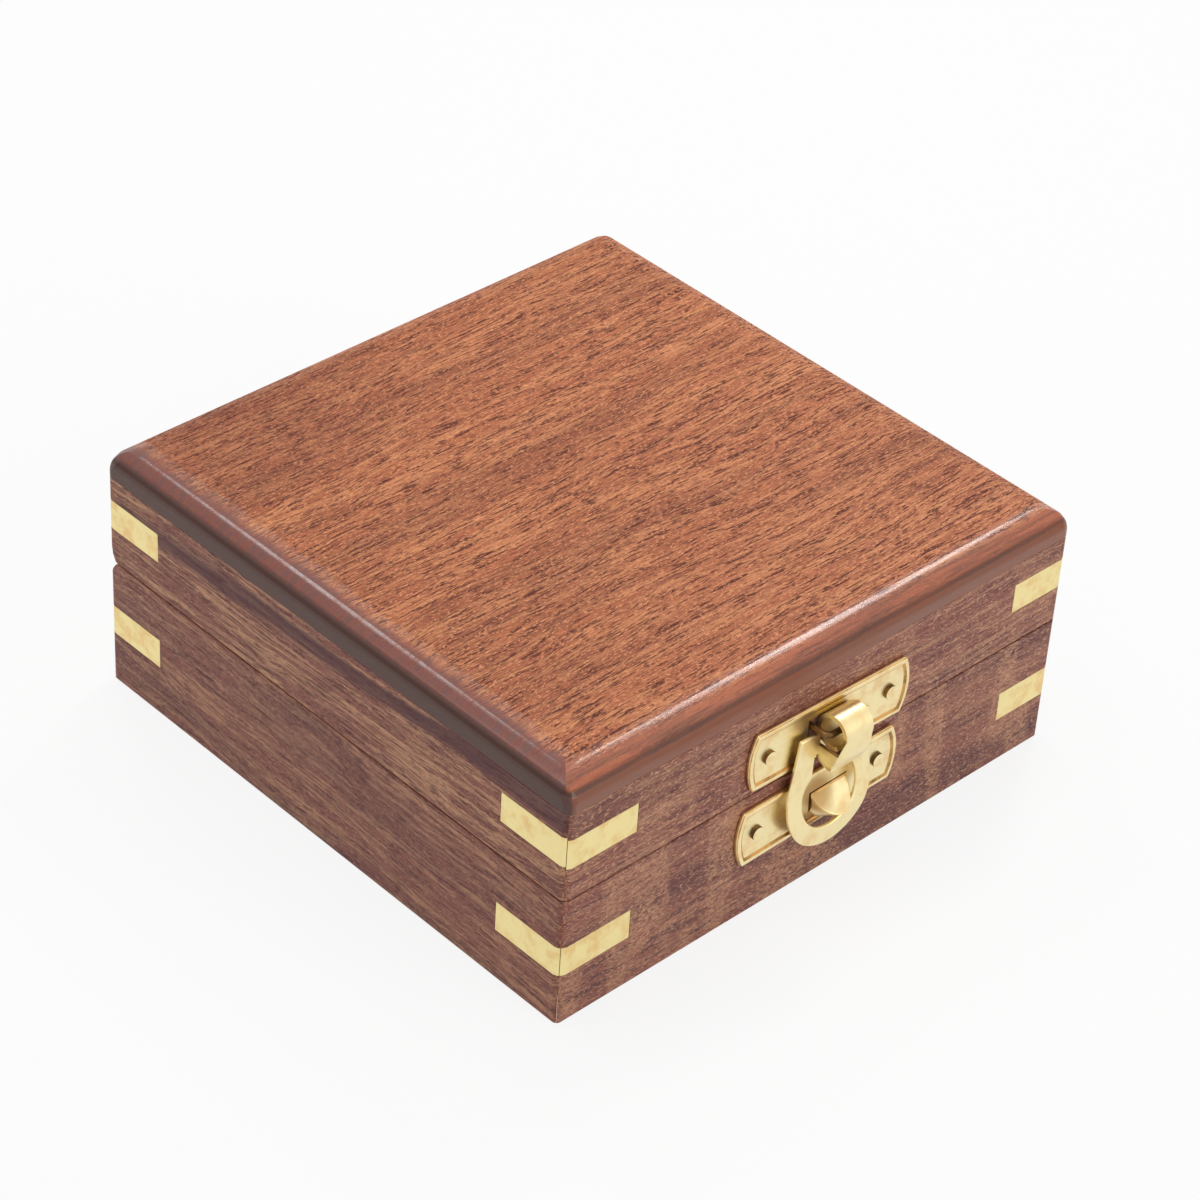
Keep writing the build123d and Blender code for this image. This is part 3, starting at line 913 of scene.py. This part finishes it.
class DICEBOX_OT_plates(bpy.types.Operator):
    """Makes the two latch plates with the catch, and their nails"""
    bl_idname = "dicebox.plates"
    bl_label = "Latch plates"

    def execute(self, context):
        size = context.scene.dicebox_latch
        colours = context.scene.dicebox_brass
        # the latch brass carries a spot of painted shade on the catch, beside its cut
        material = brass("latch_brass", colours.latch_colour, colours.tarnish_and_shade_colour,
                         roughness=0.3, clouds=0.45, shift=(3, 0, 9),
                         painted_shade_spots=[(CATCH_PLACE @ LOWER_PAINTED_SHADE / MM, 4.2, 0.8)])
        # painted shade and reflection: the sloping rim steps of the plates take this orange-brown brass
        step_shade = brass("latch_step_shade", colours.tarnish_and_shade_colour, colours.painted_shade_colour,
                     roughness=0.4, clouds=0.7)
        # painted shade: the sides of the nail heads take this dark brass, for the dark crescent beside each head
        shaded = brass("latch_nail_shade", colours.painted_shade_colour, colours.tarnish_and_shade_colour,
                       roughness=0.45, clouds=0.4)
        upper = plate_blank("hasp_plate_pressed", size)
        lower = copied(upper, "catch_plate_pressed")
        first_nail, second_nail = nail_places(size)
        score_upright(upper, first_nail, -4 * MM, 0, 4 * MM, second_nail)
        combine(upper, "DIFFERENCE", plate_cut("window", *WINDOW), plate_cut("slit", *SLIT),
                *nail_openings(size))
        clear_slivers(upper)
        # the rim steps take the painted shade
        mark(upper, is_rim_step)
        smooth(upper)
        settle(upper, HASP_PLACE)
        fit_out(upper, "lid", material, "latch_brass", "hasp_plate", second=step_shade)

        score_upright(lower, first_nail, NOSE_FOOT.x, second_nail)
        cut_top = plate_cut("cut_top", *TOP_CUT)
        combine(cut_top, "UNION", plate_cut("cut_side", *SIDE_CUT))
        combine(lower, "UNION", make_nose())
        combine(lower, "DIFFERENCE", cut_top, *nail_openings(size))
        clear_slivers(lower)
        # the rim steps take the painted shade
        mark(lower, is_rim_step)
        smooth(lower)
        settle(lower, CATCH_PLACE)
        fit_out(lower, "base", material, "latch_brass", "catch_plate", second=step_shade)

        nail = make_nail(size.nail_radius)
        for name, place, body in (("hasp_plate_nails", HASP_PLACE, "lid"),
                                  ("catch_plate_nails", CATCH_PLACE, "base")):
            nails = drive_nails(name + "_driven", nail, size, place)
            # the sides of the heads take the painted shade
            mark(nails, lambda f: abs(f.normal.y) < 0.7)
            fit_out(nails, body, material, "latch_brass", name, second=shaded)
        bpy.data.objects.remove(nail)
        return {"FINISHED"}


# the staple's wire: its radius, its legs either side, how deep they go in, and its bends
WIRE_RADIUS, LEG_OUT, LEG_BURIED, WIRE_BEND = 0.5 * MM, 3.8 * MM, 4.0 * MM, 1.0 * MM


def bend_wire(run, centre):
    """Draws the selected end of the wire out along a run, then round a quarter turn."""
    bpy.ops.mesh.extrude_region_move(TRANSFORM_OT_translate={"value": run})
    bpy.ops.mesh.spin(steps=8, angle=math.radians(-90), axis=(0, 1, 0), center=centre)


class DICEBOX_OT_staple(bpy.types.Operator):
    """Makes the wire staple that carries the hasp"""
    bl_idname = "dicebox.staple"
    bl_label = "Staple"

    def execute(self, context):
        colours = context.scene.dicebox_brass
        bpy.ops.object.select_all(action="DESELECT")
        bpy.ops.mesh.primitive_circle_add(vertices=20, radius=WIRE_RADIUS, fill_type="NGON",
                                          location=(-LEG_OUT, AXIS_UP, -LEG_BURIED))
        piece = named_active("hasp_staple_bent")
        reach, turn = AXIS_OUT - WIRE_BEND, LEG_OUT - WIRE_BEND
        leg = LEG_BURIED + reach
        with editing(piece, "FACE"):
            bpy.ops.mesh.select_all(action="SELECT")
            bend_wire((0, 0, leg), (-turn, AXIS_UP, reach))
            bend_wire((2 * turn, 0, 0), (turn, AXIS_UP, reach))
            bpy.ops.mesh.extrude_region_move(TRANSFORM_OT_translate={"value": (0, 0, -leg)})
            bpy.ops.mesh.select_all(action="SELECT")
            bpy.ops.mesh.remove_doubles(threshold=1e-6)
            bpy.ops.mesh.normals_make_consistent(inside=False)
        smooth(piece)
        settle(piece, HASP_PLACE)
        # the staple's dark brass is painted shade, for the dark hollow beside the curl
        material = brass("staple_brass", colours.painted_shade_colour, colours.tarnish_and_shade_colour,
                         roughness=0.45, clouds=0.3)
        fit_out(piece, "lid", material, "latch_brass", "hasp_staple")
        return {"FINISHED"}


# the hasp's ring: half widths, and heights from the middle of the upper plate
RING_HALF, RING_MIDDLE = 8.4 * MM, -11.6 * MM
SHOULDER_HALF, SHOULDER_LOW = 7.0 * MM, -9.5 * MM
ARM_FRONT, ARM_TOP = 1.9 * MM, 0.65 * MM
LIP_FRONT, LIP_START, LIP_FULL = 3.0 * MM, -9.0 * MM, -15.5 * MM
HOLE_RADIUS, HOLE_MIDDLE = 5.55 * MM, -11.3 * MM
SLOT_HALF, SLOT_TOP, GAP_HALF = 3.75 * MM, -3.2 * MM, 3.0 * MM


def hasp_ring(size):
    """The flat ring with its two arms; its lower lip stands out for a finger."""
    back, far = ARM_FRONT - size.sheet, 5 * MM
    piece = add_block("hasp_swung", (-RING_HALF, RING_MIDDLE, back),
                      (RING_HALF, ARM_TOP, ARM_FRONT))
    depth = (back + ARM_FRONT) / 2
    combine(piece, "UNION",
            add_drum("end", RING_HALF, size.sheet, (0, RING_MIDDLE, depth), sides=96))
    hole = add_drum("hole", HOLE_RADIUS, far, (0, HOLE_MIDDLE, depth), sides=96)
    slot = add_block("slot", (-SLOT_HALF, HOLE_MIDDLE, -far), (SLOT_HALF, SLOT_TOP, far))
    gap = add_block("gap", (-GAP_HALF, HOLE_MIDDLE, -far), (GAP_HALF, far, far))
    combine(piece, "DIFFERENCE", hole, slot, gap)
    with editing(piece):
        bpy.ops.mesh.select_all(action="SELECT")
        bpy.ops.mesh.dissolve_limited(angle_limit=math.radians(0.3))
    shoulders = []
    for way in (-1, 1):
        low = Vector((way * RING_HALF, SHOULDER_LOW, 0))
        run = Vector((way * SHOULDER_HALF, ARM_TOP, 0)) - low
        shoulders.append((low, run.cross(UP) * way))
    saw(piece, shoulders)
    soften(piece, 0.26 * MM, segments=3, angle=60)
    # each of the lip's two bends is made as two halves, a little apart
    slope = (LIP_FRONT - ARM_FRONT) / (LIP_START - LIP_FULL)
    bends = [(LIP_START + 0.6 * MM, slope / 2), (LIP_START - 0.6 * MM, slope / 2),
             (LIP_FULL + 0.8 * MM, -slope / 2), (LIP_FULL - 0.8 * MM, -slope / 2)]
    score(piece, [(Vector((0, level, 0)), BACK) for level, _ in bends])
    with editing(piece) as mesh:
        for level, turn in reversed(bends):
            pick(mesh, mesh.verts, lambda v: v.co.y < level - 0.01 * MM)
            height = max(v.co.z for v in mesh.verts if abs(v.co.y - level) < 0.01 * MM)
            bpy.ops.transform.rotate(value=turn, orient_axis="X",
                                     center_override=(0, level, height))
    return piece


# rows of the neck, from the curl down to its tip: height and front of the sheet
NECK_ROWS = ((-1.5, 6.2), (-2.3, 5.95), (-3.1, 5.55), (-3.9, 5.05), (-4.8, 4.45), (-5.6, 3.9),
             (-6.2, 3.45))
NECK_HALF, TIP_ROUNDING, WAIST = 3.3 * MM, 2.8 * MM, -0.1 * MM
CURL_HALF, CURL_RADIUS, CURL_TURN = 2.75 * MM, 2.85 * MM, math.radians(300)
CURL_UP, CURL_OUT = AXIS_UP + 0.1 * MM, AXIS_OUT - 0.15 * MM
UNDERCUT = Vector((0, -2.3, -2.2))      # which way the neck is cut free of the ring below it


def hasp_neck(size):
    """The bulging neck and the curl that wraps round the staple, as one bent sheet."""
    back, front = ARM_FRONT - size.sheet + 0.05 * MM, CURL_OUT + CURL_RADIUS
    top_row, tip = NECK_ROWS[0][0] * MM, NECK_ROWS[-1][0] * MM
    piece = add_block("neck", (-NECK_HALF, tip, back), (NECK_HALF, CURL_UP, front))
    with editing(piece, "FACE") as mesh:
        pick(mesh, mesh.faces, lambda f: f.normal.z < -0.9 or abs(f.normal.y) > 0.9)
        bpy.ops.mesh.delete(type="FACE")
    with editing(piece, "EDGE") as mesh:
        pick(mesh, mesh.edges, lambda e: min(v.co.z for v in e.verts) > front - 0.01 * MM
             and abs(middle(e).x) > NECK_HALF * 0.9)
        bpy.ops.mesh.bevel(offset=1.0 * MM, segments=5, affect="EDGES")
    score(piece, [(Vector((0, height * MM, 0)), BACK) for height, _ in NECK_ROWS[:-1]]
          + [(Vector((0, WAIST, 0)), BACK)])
    with editing(piece, "FACE") as mesh:
        pick(mesh, mesh.faces, lambda f: abs(f.normal.x) > 0.98
             and f.calc_center_median().y > top_row)
        bpy.ops.mesh.delete(type="FACE")
    with editing(piece) as mesh:
        for height, reach in NECK_ROWS:
            pick(mesh, mesh.verts, lambda v: abs(v.co.y - height * MM) < 0.01 * MM)
            bpy.ops.transform.resize(value=(1, 1, (reach * MM - back) / (front - back)),
                                     center_override=(0, height * MM, back))
        narrow = CURL_HALF / NECK_HALF
        pick(mesh, mesh.verts, lambda v: abs(v.co.y - WAIST) < 0.01 * MM)
        bpy.ops.transform.resize(value=((narrow + 1) / 2, 1, 0.6),
                                 center_override=(0, WAIST, front))
        pick(mesh, mesh.verts, lambda v: v.co.y > CURL_UP - 0.01 * MM)
        bpy.ops.transform.resize(value=(narrow, 1, 0), center_override=(0, CURL_UP, front))
    with editing(piece, "EDGE") as mesh:
        pick(mesh, mesh.edges, lambda e: min(v.co.y for v in e.verts) > CURL_UP - 0.01 * MM)
        bpy.ops.mesh.spin(steps=32, angle=CURL_TURN, axis=(1, 0, 0),
                          center=(0, CURL_UP, CURL_OUT))
        bpy.ops.mesh.select_all(action="SELECT")
        bpy.ops.mesh.normals_make_consistent(inside=False)
    apply_modifier(piece, "SOLIDIFY", thickness=size.sheet, offset=-1, use_even_offset=True)
    outline = add_block("outline", (-NECK_HALF - 0.05 * MM, tip, -1 * MM),
                        (NECK_HALF + 0.05 * MM, 6 * MM, 8 * MM))
    cuts = [(Vector((0, SLOT_TOP, back)), UNDERCUT)]
    for way in (-1, 1):
        cuts += rounded(Vector((way * NECK_HALF, tip, 0)), RIGHT * way, -BACK, TIP_ROUNDING,
                        steps=6)
    saw(outline, cuts)
    combine(piece, "INTERSECT", outline)
    return piece


class DICEBOX_OT_hasp(bpy.types.Operator):
    """Makes the swinging hasp: its ring, its bulging neck and the curl round the staple"""
    bl_idname = "dicebox.hasp"
    bl_label = "Hasp"

    def execute(self, context):
        size = context.scene.dicebox_latch
        colours = context.scene.dicebox_brass
        # the hasp's brass carries a spot of painted shade on its neck, beside the curl's left end
        material = brass("hasp_brass", colours.latch_colour, colours.tarnish_and_shade_colour,
                         roughness=0.36, clouds=0.35, shift=(40, 8, 0),
                         painted_shade_spots=[(HASP_PLACE @ UPPER_PAINTED_SHADE / MM, 3.4, 0.7)])
        piece = hasp_ring(size)
        combine(piece, "UNION", hasp_neck(size))
        smooth(piece, 40)
        settle(piece, HASP_PLACE)
        fit_out(piece, "hasp", material, "latch_brass", "hasp")
        return {"FINISHED"}


# ---------------------------------------------------------------- hinges
class DICEBOX_OT_hinges(bpy.types.Operator):
    """Makes the two butt hinges: leaves, pins and nails"""
    bl_idname = "dicebox.hinges"
    bl_label = "Hinges"

    def execute(self, context):
        colours = context.scene.dicebox_brass
        material = brass("hinge_brass", colours.hinge_colour, colours.tarnish_and_shade_colour,
                         roughness=0.34, clouds=0.6, shift=(11, 21, 5))
        for node in [n for n in frame["nodes"] if n.startswith("hinge_")]:
            piece = from_frame(node, node + "_milled")
            soften(piece, 0.07 * MM, angle=50)
            smooth(piece)
            fit_out(piece, BODY_OF[node], material, "hinge_brass", node)
        return {"FINISHED"}


# ---------------------------------------------------------------- linings
class LiningSettings(bpy.types.PropertyGroup):
    felt_colour: FloatVectorProperty(
        name="Felt colour", description="Colour of the linings", subtype="COLOR",
        default=srgb(120, 22, 32))


def felt(name, colour):
    """Short-pile felt."""
    finish = Finish.named(name)
    where = finish.place()
    tufts = finish.noise(where, 1.6, 5.0, 0.75)
    patches = finish.noise(where, 0.12, 2.0)
    hairs = finish.noise(where * (9, 3, 6), 1.0, 2.0)
    pile = finish.mix(tufts.between(0.38, 0.62), shade(colour, 0.5), colour)
    pile = finish.mix(patches.between(0.4, 0.65) * 0.35, pile,
                      [min(part * 1.5 + 0.01, 1) for part in colour])
    return finish.shine(Base_Color=pile, Roughness=0.95, Sheen_Weight=0.2,
                        Normal=finish.bump(tufts * 0.6 + hairs * 0.4, PILE_DEPTH))


FELT_SQUARES, FELT_THICKNESS = 14, 1 * MM
LUMP_SIZE, LUMP_HEIGHT = 11 * MM, 0.35 * MM


def lay_felt(node):
    """A lining: thick felt with eased creases, not quite flat where it shows."""
    piece = from_frame(node, node + "_laid")
    soften(piece, 0.4 * MM, segments=3, angle=60)
    low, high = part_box(node)
    score(piece, [(low + axis * (high - low).dot(axis) * step / FELT_SQUARES, axis)
                  for axis in (RIGHT, BACK) for step in range(1, FELT_SQUARES)])
    edge = 0.3 * MM
    showing = [v.index for v in piece.data.vertices
               if all(least + edge < part < most - edge
                      for least, part, most in zip(low, v.co, high))]
    piece.vertex_groups.new(name="showing").add(showing, 1.0, "REPLACE")
    lumps = bpy.data.textures.new(node + "_lumps", "CLOUDS")
    lumps.noise_scale = LUMP_SIZE
    apply_modifier(piece, "DISPLACE", texture=lumps, texture_coords="LOCAL",
                   strength=LUMP_HEIGHT, mid_level=0.5, vertex_group="showing")
    smooth(piece, 60)
    return piece


class DICEBOX_OT_linings(bpy.types.Operator):
    """Makes the felt linings of the base and the lid"""
    bl_idname = "dicebox.linings"
    bl_label = "Linings"

    def execute(self, context):
        material = felt("lining_felt", context.scene.dicebox_lining.felt_colour)
        for node in ("base_lining", "lid_lining"):
            piece = lay_felt(node)
            fit_out(piece, BODY_OF[node], material, "lining_felt", node)
        return {"FINISHED"}


# ---------------------------------------------------------------- stage
class StageSettings(bpy.types.PropertyGroup):
    edge_power: FloatProperty(
        name="Edge lights", description="Power of each light that picks out the lid's edges",
        default=1.1, unit="POWER")
    top_power: FloatProperty(
        name="Top light", description="Power of the big soft light above", default=1.6,
        unit="POWER")
    fill_power: FloatProperty(
        name="Fill light", description="Power of the soft light in front", default=1.6,
        unit="POWER")
    sky_strength: FloatProperty(
        name="Sky", description="Strength of the even light from all round", default=0.35)


# where each light stands, what it is aimed at, its width, and its share of which power
SOFTBOXES = {
    "front_edge": ((0.39, 0.16, 0.515), (0, -0.045, 0.042), 0.14, 0.8, "edge_power"),
    "left_edge": ((0.14, 0.40, 0.53), (-0.047, 0, 0.042), 0.12, 0.35, "edge_power"),
    "top": ((-0.12, 0.1, 0.7), (0, 0, 0.03), 0.5, 1, "top_power"),
    "fill": ((0.10, -0.75, 0.40), (0, 0, 0.02), 0.5, 1, "fill_power"),
}
FLOOR_SIZE = 6


def add_softbox(name, place, target, width, power):
    """A square soft light."""
    bpy.ops.object.select_all(action="DESELECT")
    bpy.ops.object.light_add(type="AREA", location=place)
    lamp = bpy.context.active_object
    lamp.name = lamp.data.name = name
    lamp.data.shape = "SQUARE"
    lamp.data.size = width
    lamp.data.energy = power
    lamp.rotation_euler = (Vector(target) - Vector(place)).to_track_quat("-Z", "Y").to_euler()


def pale_floor():
    """White to the camera and in reflections, and keeps the shadow of what stands on it."""
    floor = Finish.named("floor_paper")
    paper = floor.node("ShaderNodeBsdfDiffuse", {}, {"Color": (0.95, 0.95, 0.95, 1)})
    glow = floor.node("ShaderNodeEmission", {}, {"Color": (1, 1, 1, 1), "Strength": 1.0})
    both = floor.node("ShaderNodeMixShader", {},
                      {0: floor.seen_directly() * 0.85, 1: paper, 2: glow})
    floor.node("ShaderNodeOutputMaterial", {}, {"Surface": both})
    return floor.owner


def pale_sky(scene, strength):
    """A sky that lights evenly, and is white to the camera and in reflections."""
    scene.world = bpy.data.worlds.new("sky")
    sky = Finish(scene.world)
    power = sky.seen_directly() * (1 - strength) + strength
    light = sky.node("ShaderNodeBackground", {}, {"Color": (1, 1, 1, 1), "Strength": power})
    sky.node("ShaderNodeOutputWorld", {}, {"Surface": light})


CAMERA_AZIMUTH, CAMERA_HEIGHT, CAMERA_ROLL = -45.416, 37.220, 3.859    # degrees
CAMERA_DISTANCE, CAMERA_LENS = 571.39 * MM, 114.914
CAMERA_SHIFT = (2.648 * MM, 0.064 * MM)
CAMERA_TARGET = Vector((0, 0, 20 * MM))


def add_camera(scene):
    """A camera that looks down on the front left corner."""
    azimuth, height, roll = map(math.radians, (CAMERA_AZIMUTH, CAMERA_HEIGHT, CAMERA_ROLL))
    back = Vector((math.sin(azimuth) * math.cos(height), -math.cos(azimuth) * math.cos(height),
                   math.sin(height)))
    level = Vector((math.cos(azimuth), math.sin(azimuth), 0))
    above = back.cross(level)
    across = level * math.cos(roll) + above * math.sin(roll)
    upright = above * math.cos(roll) - level * math.sin(roll)
    bpy.ops.object.camera_add()
    camera = bpy.context.active_object
    camera.name = camera.data.name = "camera"
    place = Matrix((across, upright, back)).transposed().to_4x4()
    place.translation = (CAMERA_TARGET + back * CAMERA_DISTANCE + across * CAMERA_SHIFT[0]
                         + upright * CAMERA_SHIFT[1])
    camera.matrix_world = place
    camera.data.lens = CAMERA_LENS
    camera.data.sensor_width = 36.0
    camera.data.clip_start = 0.01
    scene.camera = camera


class DICEBOX_OT_stage(bpy.types.Operator):
    """Makes the floor, the lights and the camera"""
    bl_idname = "dicebox.stage"
    bl_label = "Stage"

    def execute(self, context):
        settings = context.scene.dicebox_stage
        scene = context.scene
        scene.view_settings.view_transform = "Standard"
        bpy.ops.object.select_all(action="DESELECT")
        bpy.ops.mesh.primitive_plane_add(size=FLOOR_SIZE)
        floor = named_active("floor")
        floor.data.materials.append(pale_floor())
        pale_sky(scene, settings.sky_strength)
        for name, (place, target, width, share, power) in SOFTBOXES.items():
            add_softbox(name, place, target, width, getattr(settings, power) * share)
        add_camera(scene)
        return {"FINISHED"}


# ---------------------------------------------------------------- panel and run
class DICEBOX_PT_sidebar(bpy.types.Panel):
    """Lists the steps that finish the box"""
    bl_idname = "DICEBOX_PT_sidebar"
    bl_label = "Dice Box"
    bl_space_type = "VIEW_3D"
    bl_region_type = "UI"
    bl_category = "Dice Box"

    def draw(self, context):
        for operator in OPERATORS:
            self.layout.operator(operator.bl_idname)


SETTINGS = {"dicebox_case": CaseSettings, "dicebox_brass": BrassSettings,
            "dicebox_latch": LatchSettings, "dicebox_lining": LiningSettings,
            "dicebox_stage": StageSettings}
OPERATORS = (DICEBOX_OT_stage, DICEBOX_OT_boards, DICEBOX_OT_panel, DICEBOX_OT_strips,
             DICEBOX_OT_plates, DICEBOX_OT_staple, DICEBOX_OT_hasp, DICEBOX_OT_hinges,
             DICEBOX_OT_linings)


def register():
    for group in (*SETTINGS.values(), *OPERATORS, DICEBOX_PT_sidebar):
        bpy.utils.register_class(group)
    for name, group in SETTINGS.items():
        setattr(bpy.types.Scene, name, PointerProperty(type=group))


def unregister():
    for name in SETTINGS:
        delattr(bpy.types.Scene, name)
    for group in (DICEBOX_PT_sidebar, *reversed(OPERATORS), *SETTINGS.values()):
        bpy.utils.unregister_class(group)


def main():
    register()
    for operator in OPERATORS:
        getattr(bpy.ops.dicebox, operator.bl_idname.split(".")[1])()


if __name__ == "__main__":
    main()
